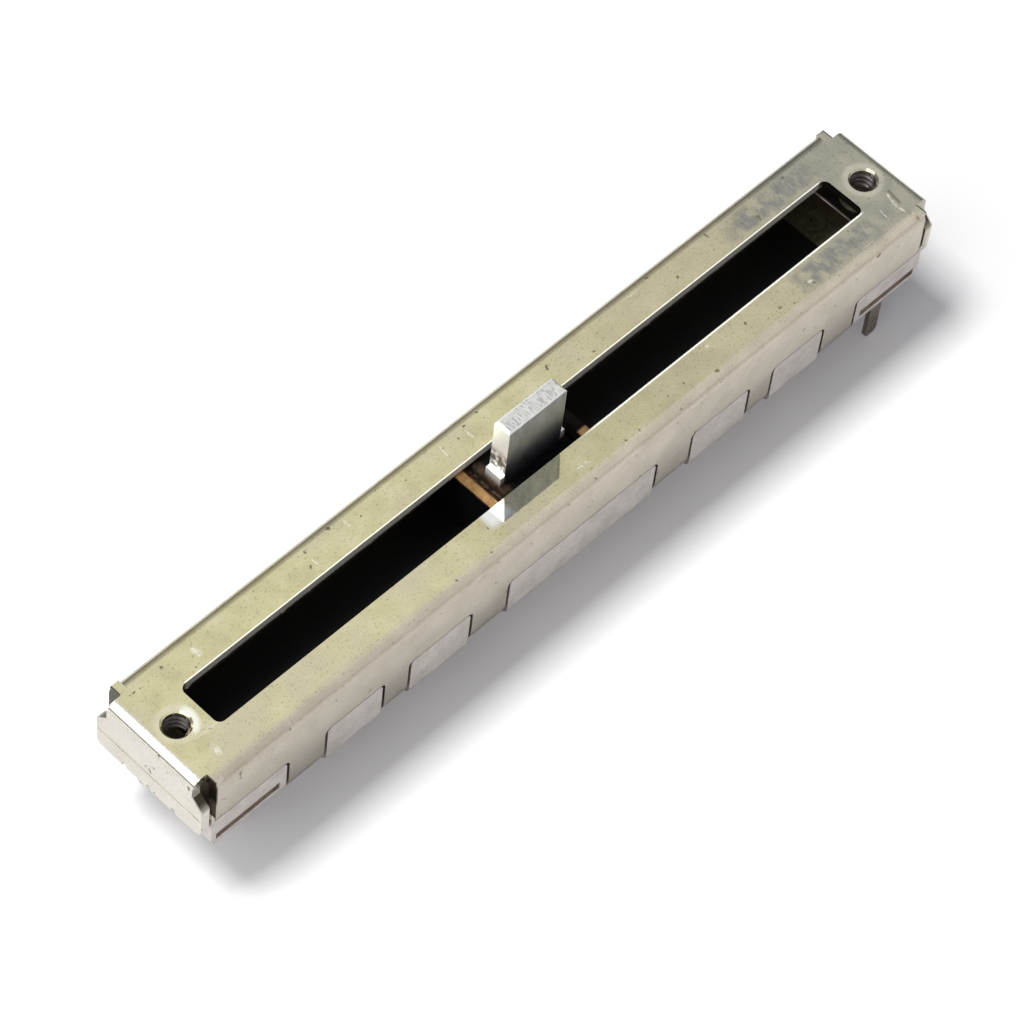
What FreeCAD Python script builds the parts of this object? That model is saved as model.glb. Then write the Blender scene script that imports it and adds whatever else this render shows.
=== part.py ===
import FreeCAD, Part
import os
import re
from math import acos, sin, tan
import Sketcher
from FreeCAD import Rotation, Vector

# A slide potentiometer, in millimetres. X runs along the slot, Z points up, and the origin is on the
# surface that the legs stand on, under the middle of the case. A folded steel upper case and a folded
# steel tray hold a resistance board between them. A lever stands up from a carriage that slides inside.

# Driving sizes. Each can be changed by itself.
SIZES = {
    # The case as a whole, and how far the legs reach below it.
    "case_long": 60.0,
    "case_wide": 8.6,
    "case_tall": 7.3,
    "leg_drop": 3.8,
    # Upper case: sheet, outer radius of its bends, and how far the skirts stop short of the ends.
    "upper_sheet": 0.6,
    "upper_bend": 0.7,
    "skirt_setback": 1.0,
    # Slot for the lever, from its distance to the ends of the case.
    "slot_inset": 3.7,
    "slot_wide": 3.2,
    "slot_corner": 0.45,
    # Threaded holes for the M2 fixing screws, each in a collar drawn down from the sheet.
    "screw_inset": 2.0,
    "screw_hole": 1.6,
    "screw_lead_in": 0.14,
    "collar_wide": 2.6,
    "collar_drop": 1.0,
    # End flaps: a narrow neck at the top bend, slanted shoulders, a crease and three nicks.
    "flap_drop": 4.6,
    "flap_side_gap": 0.1,
    "neck_inset": 0.8,
    "neck_drop": 1.3,
    "flap_corner": 0.5,
    "crease_drop": 3.05,
    "crease_wide": 0.12,
    "crease_deep": 0.05,
    "nick_pitch": 1.97,
    "nick_wide": 0.28,
    "nick_tall": 0.3,
    # Tabs of the tray and teeth of the upper case take turns along each side, from the middle outwards.
    "tooth_1_wide": 3.01,
    "tab_2_long": 4.9,
    "tooth_2_wide": 2.05,
    "tab_3_long": 4.46,
    "tooth_3_wide": 2.94,
    "tab_4_long": 5.82,
    "tab_end_gap": 0.1,
    "tab_gap": 0.2,
    "notch_drop": 3.8,
    "notch_corner": 0.4,
    "tooth_curl": 1.2,
    "tooth_reach": 2.1,
    # Tray: sheet, outer radius of its bends, how far its floor stops short, and the horns of its end tabs.
    "tray_sheet": 0.5,
    "tray_bend": 0.55,
    "floor_setback": 1.1,
    "tab_top_gap": 0.05,
    "tab_corner": 1.1,
    "horn_wide": 0.25,
    "horn_rise": 0.4,
    "lip_gap": 0.2,
    # Lugs of the tray, pressed down from its floor, that stand beside the terminals.
    "lug_inset": 3.1,
    "lug_wide": 1.2,
    # Resistance board, with ears that rest in slots of the end tabs.
    "board_end_gap": 0.1,
    "board_side_gap": 0.05,
    "board_thick": 0.5,
    "board_lift": 0.3,
    "ear_inset": 0.72,
    "ear_setback": 0.7,
    "ear_side_gap": 0.2,
    "ear_corner": 0.2,
    "ear_gap": 0.1,
    # Printed layers on the board, and how far the silver pads reach each way from the contacts.
    "track_inner": 0.4,
    "track_edge": 0.1,
    "track_thick": 0.05,
    "pad_reach": 1.2,
    "pad_thick": 0.03,
    # Terminals, riveted under the board by hollow eyelets.
    "contact_inset": 3.0,
    "contact_side": 2.1,
    "terminal_wide": 1.0,
    "terminal_thick": 0.3,
    "terminal_eye": 1.5,
    "terminal_bend": 0.4,
    "leg_side": 0.75,
    "leg_point": 0.25,
    "window_gap": 0.5,
    "eyelet_hole": 0.5,
    "eyelet_wall": 0.2,
    "eyelet_flange": 0.35,
    "eyelet_flange_thick": 0.14,
    "eyelet_gap": 0.02,
    # Lever, and where it stands in the photograph.
    "lever_x": -0.9,
    "lever_rise": 4.2,
    "lever_wide": 4.6,
    "lever_thick": 1.2,
    "lever_chamfer": 0.15,
    "foot_wide": 5.2,
    "tang_wide": 4.0,
    "tang_deep": 2.2,
    # Carriage, between the skirts and above the board, with a boss that fills the slot around the lever.
    "carriage_long": 7.8,
    "carriage_drop": 1.3,
    "carriage_foot": 0.75,
    "side_gap": 0.1,
    "boss_long": 5.5,
    "boss_side_gap": 0.1,
    "boss_rise": 0.55,
    "runner_wide": 0.35,
    "runner_gap": 0.1,
    "fit_gap": 0.03,
    "peg_wide": 0.7,
    "peg_pitch": 5.0,
    "peg_head": 0.2,
    # Leaf spring around the boss of the carriage: its ends press up against the sheet.
    "leaf_long": 8.1,
    "leaf_side": 0.9,
    "leaf_thick": 0.15,
    "leaf_bar": 0.6,
    "leaf_ramp_long": 0.5,
    "leaf_gap": 0.05,
    # Wiper: one sprung sheet with a row of fingers over each track.
    "wiper_long": 6.4,
    "wiper_spine": 1.6,
    "wiper_thick": 0.12,
    "wiper_bar": 1.5,
    "finger_wide": 0.42,
    "finger_pitch": 0.65,
    "finger_first": 1.15,
    "finger_tip": 0.35,
    "contact_gap": 0.03,
}

# Places and levels that follow from the sizes.
PLACES = {
    "half_long": "case_long / 2",
    "half_wide": "case_wide / 2",
    "case_base": "leg_drop",
    "case_top": "leg_drop + case_tall",
    "plate_under": "case_top - upper_sheet",
    "skirt_end": "half_long - skirt_setback",
    "skirt_inner": "half_wide - upper_sheet",
    "lip_inner": "half_wide - tooth_reach",
    "curl_inner": "half_wide - tooth_curl",
    "slot_end": "half_long - slot_inset",
    "slot_side": "slot_wide / 2",
    "screw_x": "half_long - screw_inset",
    "flap_inner": "half_long - upper_sheet",
    "flap_side": "half_wide - flap_side_gap",
    "flap_foot": "case_top - flap_drop",
    "neck_side": "flap_side - neck_inset",
    "neck_foot": "case_top - neck_drop",
    "shoulder_foot": "neck_foot - neck_inset",
    "tab_out": "flap_inner - tab_end_gap",
    "tab_4_start": "tab_out - tab_4_long",
    "tab_3_end": "tab_4_start - tooth_3_wide",
    "tab_3_start": "tab_3_end - tab_3_long",
    "tab_2_end": "tab_3_start - tooth_2_wide",
    "tab_2_start": "tab_2_end - tab_2_long",
    "tab_1_end": "tab_2_start - tooth_1_wide",
    "notch_top": "case_top - notch_drop",
    "notch_out": "(skirt_end + flap_inner) / 2",
    "tab_top": "notch_top - tab_top_gap",
    "tab_inner": "half_wide - tray_sheet",
    "floor_out": "tab_out - floor_setback",
    "end_floor_base": "case_base + upper_sheet",
    "end_floor_top": "end_floor_base + tray_sheet",
    "lug_x": "half_long - lug_inset",
    "wall_inner": "tab_out - tray_sheet",
    "board_out": "wall_inner - board_end_gap",
    "board_side": "skirt_inner - board_side_gap",
    "board_under": "end_floor_top + board_lift",
    "board_top": "board_under + board_thick",
    "ear_start": "tab_4_start + ear_inset",
    "ear_end": "tab_out - ear_setback",
    "ear_side": "half_wide - ear_side_gap",
    "contact_x": "half_long - contact_inset",
    "contact_y": "half_wide - contact_side",
    "track_out": "contact_x - pad_reach",
    "track_outer": "board_side - track_edge",
    "pad_out": "contact_x + pad_reach",
    "pad_top": "board_top + pad_thick",
    "leg_y": "half_wide - leg_side",
    "barrel_radius": "eyelet_hole / 2 + eyelet_wall",
    "flange_radius": "barrel_radius + eyelet_flange",
    "terminal_under": "board_under - terminal_thick",
    "carriage_top": "case_top - carriage_drop",
    "carriage_base": "board_top + carriage_foot",
    "carriage_half": "carriage_long / 2",
    "carriage_side": "skirt_inner - side_gap",
    "boss_half": "boss_long / 2",
    "boss_side": "slot_side - boss_side_gap",
    "boss_top": "carriage_top + boss_rise",
    "leaf_half": "leaf_long / 2",
    "leaf_edge": "skirt_inner - leaf_side",
    "wiper_half": "wiper_long / 2",
    "wiper_under": "carriage_base - wiper_thick",
    "wiper_tip": "board_top + track_thick + contact_gap",
}

# Where each of the three contacts of the board lies, and the turn that sends its leg to the near side.
CONTACTS = {
    "near": ("-contact_x", "contact_y", 0),
    "far": ("contact_x", "contact_y", 0),
    "collector": ("contact_x", "-contact_y", 180),
}

# How far past the metal a cut runs, so that it leaves no skin.
OVERCUT = 1.0

# Two measures closer than this count as the same.
SAME = 0.000001

doc = FreeCAD.newDocument("slide_potentiometer")
pieces = []


def fill_sheet(name, rows):
    """Write names and contents down a sheet, each content under its name as an alias."""
    sheet = doc.addObject("Spreadsheet::Sheet", name)
    for row, (alias, content) in enumerate(rows.items(), start=1):
        sheet.set(f"A{row}", alias)
        sheet.set(f"B{row}", str(content))
        sheet.setAlias(f"B{row}", alias)
    return sheet


def with_sheet(formula, sheets):
    """Put the name of its sheet before each size or place that a formula uses."""
    def full_name(match):
        word = match.group(0)
        for sheet, rows in sheets.items():
            if word in rows:
                return f"{sheet}.{word}"
        return word
    return re.sub(r"[a-z_][a-z_0-9]*", full_name, formula)


def bound(formula):
    """A formula as an expression for a property."""
    return with_sheet(formula, {"Sizes": SIZES, "Places": PLACES})


sizes = fill_sheet("Sizes", SIZES)
places = fill_sheet("Places", {name: "=" + with_sheet(formula, {"Sizes": SIZES})
                               for name, formula in PLACES.items()})
doc.recompute()


def value(formula):
    """What a formula comes to now."""
    return float(sizes.evalExpression(bound(formula)))


def rounding(before, here, after, radius):
    """Where a rounded corner starts and ends, and the middle of its arc."""
    back = (before - here).normalize()
    ahead = (after - here).normalize()
    half_angle = acos(back.dot(ahead)) / 2
    run = radius / tan(half_angle)
    bisector = (back + ahead).normalize()
    middle = here + bisector * (radius / sin(half_angle) - radius)
    return here + back * run, middle, here + ahead * run


def draw_outline(sketch, corners):
    """Draw a closed outline from its corners, each two formulas and, where it is rounded, a third."""
    count = len(corners)
    points = [Vector(value(corner[0]), value(corner[1]), 0) for corner in corners]
    first = sketch.GeometryCount
    lines = [first + number for number in range(count)]
    starts = list(points)
    ends = list(points)
    arcs = {}
    for number in range(count):
        if len(corners[number]) == 3:
            arc = rounding(points[number - 1], points[number], points[(number + 1) % count],
                           value(corners[number][2]))
            ends[number], starts[number] = arc[0], arc[2]
            arcs[number] = arc
    geometry = [Part.LineSegment(starts[number], ends[(number + 1) % count]) for number in range(count)]
    arc_index = {number: first + count + order for order, number in enumerate(arcs)}
    geometry += [Part.Arc(*arc) for arc in arcs.values()]
    sketch.addGeometry(geometry)

    constraints = []
    formulas = []

    def fix(kind, line, end, formula):
        constraints.append(Sketcher.Constraint(kind, -1, 1, line, end, value(formula)))
        formulas.append((len(constraints) - 1, formula))

    upright = [corners[number][0] == corners[(number + 1) % count][0] for number in range(count)]
    level = [corners[number][1] == corners[(number + 1) % count][1] for number in range(count)]
    for number in range(count):
        line = lines[number]
        across, up = corners[number][:2]
        if upright[number]:
            constraints.append(Sketcher.Constraint("Vertical", line))
            fix("DistanceX", line, 1, across)
        elif level[number]:
            constraints.append(Sketcher.Constraint("Horizontal", line))
            fix("DistanceY", line, 1, up)
        slanted = not (upright[number] and upright[number - 1] or level[number] and level[number - 1])
        if slanted and not (upright[number] or upright[number - 1]):
            fix("DistanceX", line, 1, across)
        if slanted and not (level[number] or level[number - 1]):
            fix("DistanceY", line, 1, up)
        if number in arcs:
            come = points[number] - points[number - 1]
            leave = points[(number + 1) % count] - points[number]
            turns_left = come.cross(leave).z > 0
            into, out = (1, 2) if turns_left else (2, 1)
            arc = arc_index[number]
            constraints.append(Sketcher.Constraint("Tangent", lines[number - 1], 2, arc, into))
            constraints.append(Sketcher.Constraint("Tangent", arc, out, line, 1))
            constraints.append(Sketcher.Constraint("Radius", arc, value(corners[number][2])))
            formulas.append((len(constraints) - 1, corners[number][2]))
        else:
            constraints.append(Sketcher.Constraint("Coincident", lines[number - 1], 2, line, 1))
    offset = sketch.ConstraintCount
    sketch.addConstraint(constraints)
    for index, formula in formulas:
        sketch.setExpression(f"Constraints[{offset + index}]", bound(formula))


def draw_circle(sketch, across, up, radius):
    """Draw a circle from the formulas of its centre and radius."""
    circle = Part.Circle(Vector(value(across), value(up), 0), Vector(0, 0, 1), value(radius))
    index = sketch.addGeometry(circle)
    offset = sketch.ConstraintCount
    sketch.addConstraint([
        Sketcher.Constraint("DistanceX", -1, 1, index, 3, value(across)),
        Sketcher.Constraint("DistanceY", -1, 1, index, 3, value(up)),
        Sketcher.Constraint("Radius", index, value(radius)),
    ])
    for step, formula in enumerate((across, up, radius)):
        sketch.setExpression(f"Constraints[{offset + step}]", bound(formula))


def draw(body, name, plane, height, shapes):
    """Make a sketch at a height above one of the body's planes. A circle is a tuple, an outline a list."""
    sketch = body.newObject("Sketcher::SketchObject", name)
    origin_plane = [item for item in body.Origin.OriginFeatures if item.Role == plane][0]
    sketch.AttachmentSupport = (origin_plane, [""])
    sketch.MapMode = "FlatFace"
    sketch.setExpression("AttachmentOffset.Base.z", bound(height))
    for shape in shapes:
        if isinstance(shape, tuple):
            draw_circle(sketch, *shape)
        else:
            draw_outline(sketch, shape)
    return sketch


def pad(body, name, plane, low, high, *shapes):
    """Add the shapes, drawn on a plane, as metal or plastic from low to high along its axis."""
    height = f"-({high})" if plane == "XZ_Plane" else low
    feature = body.newObject("PartDesign::Pad", name)
    feature.Profile = draw(body, name + "_sketch", plane, height, shapes)
    feature.setExpression("Length", bound(f"({high}) - ({low})"))
    body.Tip = feature
    return feature


def cut(body, name, plane, low, high, *shapes):
    """Take the shapes away from low to high."""
    height = f"-({low})" if plane == "XZ_Plane" else high
    feature = body.newObject("PartDesign::Pocket", name)
    feature.Profile = draw(body, name + "_sketch", plane, height, shapes)
    feature.setExpression("Length", bound(f"({high}) - ({low})"))
    body.Tip = feature
    return feature


def dress(body, kind, name, size, chosen):
    """Chamfer or fillet the edges of the body's last feature that a test picks."""
    doc.recompute()
    base = body.Tip
    edges = [f"Edge{number}" for number, edge in enumerate(base.Shape.Edges, start=1) if chosen(edge)]
    feature = body.newObject(f"PartDesign::{kind}", name)
    feature.Base = (base, edges)
    feature.setExpression("Size" if kind == "Chamfer" else "Radius", bound(size))
    body.Tip = feature


def ends_at(edge, height):
    """Whether an edge lies wholly at one height."""
    return all(abs(corner.Z - height) < SAME for corner in edge.Vertexes)


def new_body(label):
    """Start a piece. Its label names its file."""
    body = doc.addObject("PartDesign::Body", label)
    body.Label = label
    pieces.append(body)
    return body


def box(left, front, right, back, radius=None):
    """The corners of a rectangle, all rounded or all sharp."""
    corners = [(left, front), (right, front), (right, back), (left, back)]
    return [corner + (radius,) for corner in corners] if radius else corners


def flipped(formula, side):
    """A formula as it stands, or on the other side of the middle."""
    return formula if side > 0 else f"-({formula})"


def span(start, end, side):
    """A stretch from start to end, or its mirror image, lower end first."""
    return (start, end) if side > 0 else (f"-({end})", f"-({start})")


# Tabs along a side, as pairs of ends, and the teeth between them. The last tab runs to the tray's end.
TABS = [("tab_2_start", "tab_2_end"), ("tab_3_start", "tab_3_end")]
TEETH = [("tab_1_end", "tab_2_start"), ("tab_2_end", "tab_3_start"), ("tab_3_end", "tab_4_start")]


def build_upper_case():
    """Channel with teeth that curl in under the board, end flaps, slot and threaded holes."""
    body = new_body("upper_case")
    section = [
        ("-half_wide", "case_top", "upper_bend"),
        ("half_wide", "case_top", "upper_bend"),
        ("half_wide", "case_base", "tooth_curl"),
        ("lip_inner", "case_base"),
        ("lip_inner", "case_base + upper_sheet"),
        ("skirt_inner", "case_base + upper_sheet", "tooth_curl - upper_sheet"),
        ("skirt_inner", "plate_under", "upper_bend - upper_sheet"),
        ("-skirt_inner", "plate_under", "upper_bend - upper_sheet"),
        ("-skirt_inner", "case_base + upper_sheet", "tooth_curl - upper_sheet"),
        ("-lip_inner", "case_base + upper_sheet"),
        ("-lip_inner", "case_base"),
        ("-half_wide", "case_base", "tooth_curl"),
    ]
    pad(body, "channel", "YZ_Plane", "-skirt_end", "skirt_end", section)

    # The top sheet runs past the skirts and folds down into a flap at each end.
    flaps = []
    for side in (-1, 1):
        root = flipped("skirt_end - upper_sheet", side)
        outer = flipped("half_long", side)
        inner = flipped("flap_inner", side)
        flaps.append([
            (root, "case_top"),
            (outer, "case_top", "upper_bend"),
            (outer, "flap_foot"),
            (inner, "flap_foot"),
            (inner, "plate_under", "upper_bend - upper_sheet"),
            (root, "plate_under"),
        ])
    pad(body, "end_flaps", "XZ_Plane", "-flap_side", "flap_side", *flaps)

    # Each flap is trimmed to its outline: neck, slanted shoulders, rounded foot and three nicks.
    trim = [
        ("-neck_side", f"case_top + {OVERCUT / 2}"),
        ("-neck_side", "neck_foot"),
        ("-flap_side", "shoulder_foot"),
        ("-flap_side", "flap_foot", "flap_corner"),
    ]
    for step in (-1, 0, 1):
        middle = f"{step} * nick_pitch"
        trim += [
            (f"{middle} - nick_wide / 2", "flap_foot"),
            (f"{middle} - nick_wide / 2", "flap_foot + nick_tall"),
            (f"{middle} + nick_wide / 2", "flap_foot + nick_tall"),
            (f"{middle} + nick_wide / 2", "flap_foot"),
        ]
    trim += [
        ("flap_side", "flap_foot", "flap_corner"),
        ("flap_side", "shoulder_foot"),
        ("neck_side", "neck_foot"),
        ("neck_side", f"case_top + {OVERCUT / 2}"),
    ]
    around = box(f"-half_wide - {OVERCUT}", f"flap_foot - {OVERCUT}",
                 f"half_wide + {OVERCUT}", f"case_top + {OVERCUT}")
    crease = box(f"-half_wide - {OVERCUT}", "case_top - crease_drop - crease_wide / 2",
                 f"half_wide + {OVERCUT}", "case_top - crease_drop + crease_wide / 2")
    for side, end in ((-1, "near"), (1, "far")):
        cut(body, f"{end}_flap_trim", "YZ_Plane", *span("skirt_end", f"half_long + {OVERCUT}", side),
            around, trim)
        cut(body, f"{end}_crease", "YZ_Plane",
            *span("half_long - crease_deep", f"half_long + {OVERCUT}", side), crease)

    cut(body, "lever_slot", "XY_Plane", f"plate_under - {OVERCUT}", f"case_top + {OVERCUT}",
        box("-slot_end", "-slot_side", "slot_end", "slot_side", "slot_corner"))

    # Room for the tabs of the tray, through both skirts. The end notches run out past the skirts.
    gap = "tab_gap / 2"
    low = f"case_base - {OVERCUT}"
    middle = f"tab_1_end + {gap}"
    rounded = [(f"-({middle})", middle)]
    outlines = []
    for side in (-1, 1):
        rounded += [span(f"{start} - {gap}", f"{end} + {gap}", side) for start, end in TABS]
        root = flipped(f"tab_4_start - {gap}", side)
        outer = flipped("notch_out", side)
        outlines.append([(root, low), (outer, low), (outer, "notch_top"),
                         (root, "notch_top", "notch_corner")])
    outlines += [[(left, low), (right, low), (right, "notch_top", "notch_corner"),
                  (left, "notch_top", "notch_corner")] for left, right in rounded]
    cut(body, "tab_notches", "XZ_Plane", f"-half_wide - {OVERCUT}", f"half_wide + {OVERCUT}", *outlines)

    collars = [(flipped("screw_x", side), "0", "collar_wide / 2") for side in (-1, 1)]
    holes = [(flipped("screw_x", side), "0", "screw_hole / 2") for side in (-1, 1)]
    pad(body, "screw_collars", "XY_Plane", "plate_under - collar_drop", "plate_under", *collars)
    cut(body, "screw_holes", "XY_Plane", f"plate_under - collar_drop - {OVERCUT}",
        f"case_top + {OVERCUT}", *holes)
    top = value("case_top")
    radius = value("screw_hole / 2")
    dress(body, "Chamfer", "screw_lead_ins", "screw_lead_in",
          lambda edge: isinstance(edge.Curve, Part.Circle) and abs(edge.Curve.Radius - radius) < SAME
          and ends_at(edge, top))


def build_tray():
    """Tray with tabs that stand in the notches, raised ends, end walls, shelves under the board, and lugs."""
    body = new_body("lower_case")

    def trough(base):
        return [
            ("-half_wide", base, "tray_bend"),
            ("half_wide", base, "tray_bend"),
            ("half_wide", "tab_top"),
            ("tab_inner", "tab_top"),
            ("tab_inner", f"{base} + tray_sheet", "tray_bend - tray_sheet"),
            ("-tab_inner", f"{base} + tray_sheet", "tray_bend - tray_sheet"),
            ("-tab_inner", "tab_top"),
            ("-half_wide", "tab_top"),
        ]

    # The floor is low in the middle and steps up at the ends, where it carries the board.
    step = "tab_3_end - tab_gap / 2"
    pad(body, "middle_floor", "YZ_Plane", f"-({step})", step, trough("case_base"))
    for side, end in ((-1, "near"), (1, "far")):
        pad(body, f"{end}_floor", "YZ_Plane", *span(f"{step} - tray_sheet", "tab_out", side),
            trough("end_floor_base"))
        pad(body, f"{end}_step", "YZ_Plane", *span(f"{step} - tray_sheet", step, side),
            box("-tab_inner", "case_base + tray_sheet / 2", "tab_inner", "end_floor_top"))

    # The gaps for the teeth run in past their curled ends, or at the raised floor past their curl.
    gaps = []
    half_gap = "tab_gap / 2"
    for number, (start, end) in enumerate(TEETH):
        raised = number == len(TEETH) - 1
        inner = "curl_inner - fit_gap" if raised else "lip_inner - lip_gap"
        for side in (-1, 1):
            left, right = span(f"{start} - {half_gap}", f"{end} + {half_gap}", side)
            for hand in (-1, 1):
                front, back = span(inner, f"half_wide + {OVERCUT}", hand)
                gaps.append(box(left, front, right, back))
    cut(body, "tooth_gaps", "XY_Plane", f"case_base - {OVERCUT}", f"tab_top + {OVERCUT}", *gaps)

    # The top corners of the tabs are as round as the corners of the notches.
    top = value("tab_top")
    dress(body, "Fillet", "tab_top_corners", "notch_corner - tab_gap / 2",
          lambda edge: ends_at(edge, top) and abs(edge.Vertexes[0].X - edge.Vertexes[-1].X) < SAME)

    # A horn at the outer end of each end tab closes the slit between the skirt and the flap.
    horns = []
    for side in (-1, 1):
        left, right = span("tab_out - horn_wide", "tab_out", side)
        for hand in (-1, 1):
            front, back = span("tab_inner", "half_wide", hand)
            horns.append(box(left, front, right, back))
    pad(body, "horns", "XY_Plane", "tab_top - notch_corner", "tab_top + horn_rise", *horns)

    # Behind each flap the end tabs turn in and meet in a wall, from the board's underside to their own top.
    walls = []
    for side in (-1, 1):
        left, right = span("wall_inner", "tab_out", side)
        walls.append(box(left, "-half_wide + tray_sheet / 2", right, "half_wide - tray_sheet / 2"))
    pad(body, "end_walls", "XY_Plane", "board_under", "tab_top", *walls)

    # Beside each inner tooth the floor is pressed up into a shelf that carries the board.
    web = "lip_inner - lip_gap"
    for number, (start, end) in enumerate(TEETH[:-1]):
        for side, way in ((-1, "near"), (1, "far")):
            shelves = []
            for hand in (-1, 1):
                foot = flipped(f"{web} - tray_sheet", hand)
                face = flipped(web, hand)
                edge = flipped("curl_inner - fit_gap", hand)
                shelves.append([
                    (foot, "case_base + tray_sheet / 2"),
                    (face, "case_base + tray_sheet / 2"),
                    (face, "board_under - tray_sheet"),
                    (edge, "board_under - tray_sheet"),
                    (edge, "board_under"),
                    (foot, "board_under"),
                ])
            pad(body, f"{way}_shelves_{number + 1}", "YZ_Plane",
                *span(f"{start} + {half_gap}", f"{end} - {half_gap}", side), *shelves)

    # The floor stops short of the tabs, whose lower outer corners are round.
    beyond = []
    corners = []
    slots = []
    windows = []
    lances = []
    for side in (-1, 1):
        left, right = span("floor_out", f"tab_out + {OVERCUT}", side)
        beyond.append(box(left, "-half_wide + tray_bend", right, "half_wide - tray_bend"))
        outer = flipped("tab_out", side)
        clear = flipped(f"tab_out + {OVERCUT}", side)
        inner = flipped(f"tab_out - tab_corner - {OVERCUT}", side)
        corners.append([
            (outer, "tab_top - tray_bend"),
            (outer, "end_floor_base", "tab_corner"),
            (inner, "end_floor_base"),
            (inner, f"end_floor_base - {OVERCUT}"),
            (clear, f"end_floor_base - {OVERCUT}"),
            (clear, "tab_top - tray_bend"),
        ])
        left, right = span("ear_start - ear_gap", "ear_end + 3 * ear_gap", side)
        slots.append(box(left, "board_under", right, "board_top + ear_gap / 2"))
        left, right = span("contact_x - terminal_eye / 2 - window_gap", f"floor_out + {OVERCUT}", side)
        for hand in (-1, 1):
            front, back = span("contact_y - terminal_eye / 2 - window_gap / 2",
                               "half_wide - tray_bend", hand)
            windows.append(box(left, front, right, back))
        left, right = span("lug_x - tray_sheet - end_floor_base", "lug_x - tray_sheet", side)
        front, back = span("0", "lug_wide", side)
        lances.append(box(left, front, right, back))
    cut(body, "floor_ends", "XY_Plane", f"case_base - {OVERCUT}", "end_floor_top", *beyond)
    cut(body, "tab_corners", "XZ_Plane", f"-half_wide - {OVERCUT}", f"half_wide + {OVERCUT}", *corners)
    cut(body, "ear_slots", "XZ_Plane", f"-half_wide - {OVERCUT}", f"half_wide + {OVERCUT}", *slots)
    cut(body, "terminal_windows", "XY_Plane", f"case_base - {OVERCUT}", "end_floor_top", *windows)

    # Each lug is pressed down out of the raised floor, and leaves its own length of opening behind.
    cut(body, "lug_openings", "XY_Plane", f"end_floor_base - {OVERCUT / 2}", "end_floor_top", *lances)
    for side, end in ((-1, "near"), (1, "far")):
        left, right = span("lug_x - tray_sheet", "lug_x", side)
        front, back = span("0", "lug_wide", side)
        pad(body, f"{end}_lug", "XY_Plane", "0", "end_floor_base + tray_sheet / 2",
            box(left, front, right, back))


def build_board():
    """Phenolic board with four ears that rest in the slots of the end tabs, and a hole for each eyelet."""
    body = new_body("element_board")
    pad(body, "board", "XY_Plane", "board_under", "board_top",
        box("-board_out", "-board_side", "board_out", "board_side"))
    ears = []
    for side in (-1, 1):
        inner = flipped("ear_start", side)
        outer = flipped("ear_end", side)
        for hand in (-1, 1):
            root = flipped("board_side / 2", hand)
            tip = flipped("ear_side", hand)
            ears.append([(inner, root), (outer, root), (outer, tip, "ear_corner"), (inner, tip)])
    pad(body, "ears", "XY_Plane", "board_under", "board_top", *ears)
    holes = [(across, up, "barrel_radius + eyelet_gap") for across, up, turn in CONTACTS.values()]
    cut(body, "eyelet_holes", "XY_Plane", f"board_under - {OVERCUT}", f"board_top + {OVERCUT}", *holes)


def build_prints():
    """Carbon track, collector track and the silver pads under the eyelets."""
    for label, hand in (("carbon_track", 1), ("collector_track", -1)):
        body = new_body(label)
        front, back = span("track_inner", "track_outer", hand)
        pad(body, "print", "XY_Plane", "board_top", "board_top + track_thick",
            box("-track_out", front, "track_out", back))
    for label, (across, up, turn) in CONTACTS.items():
        body = new_body(f"{label}_silver_pad")
        left, right = span("track_out", "pad_out", value(across))
        front, back = span("track_inner", "track_outer", value(up))
        pad(body, "print", "XY_Plane", "board_top", "pad_top", box(left, front, right, back))
        cut(body, "eyelet_hole", "XY_Plane", f"board_top - {OVERCUT}", f"pad_top + {OVERCUT}",
            (across, up, "barrel_radius + eyelet_gap"))


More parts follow.
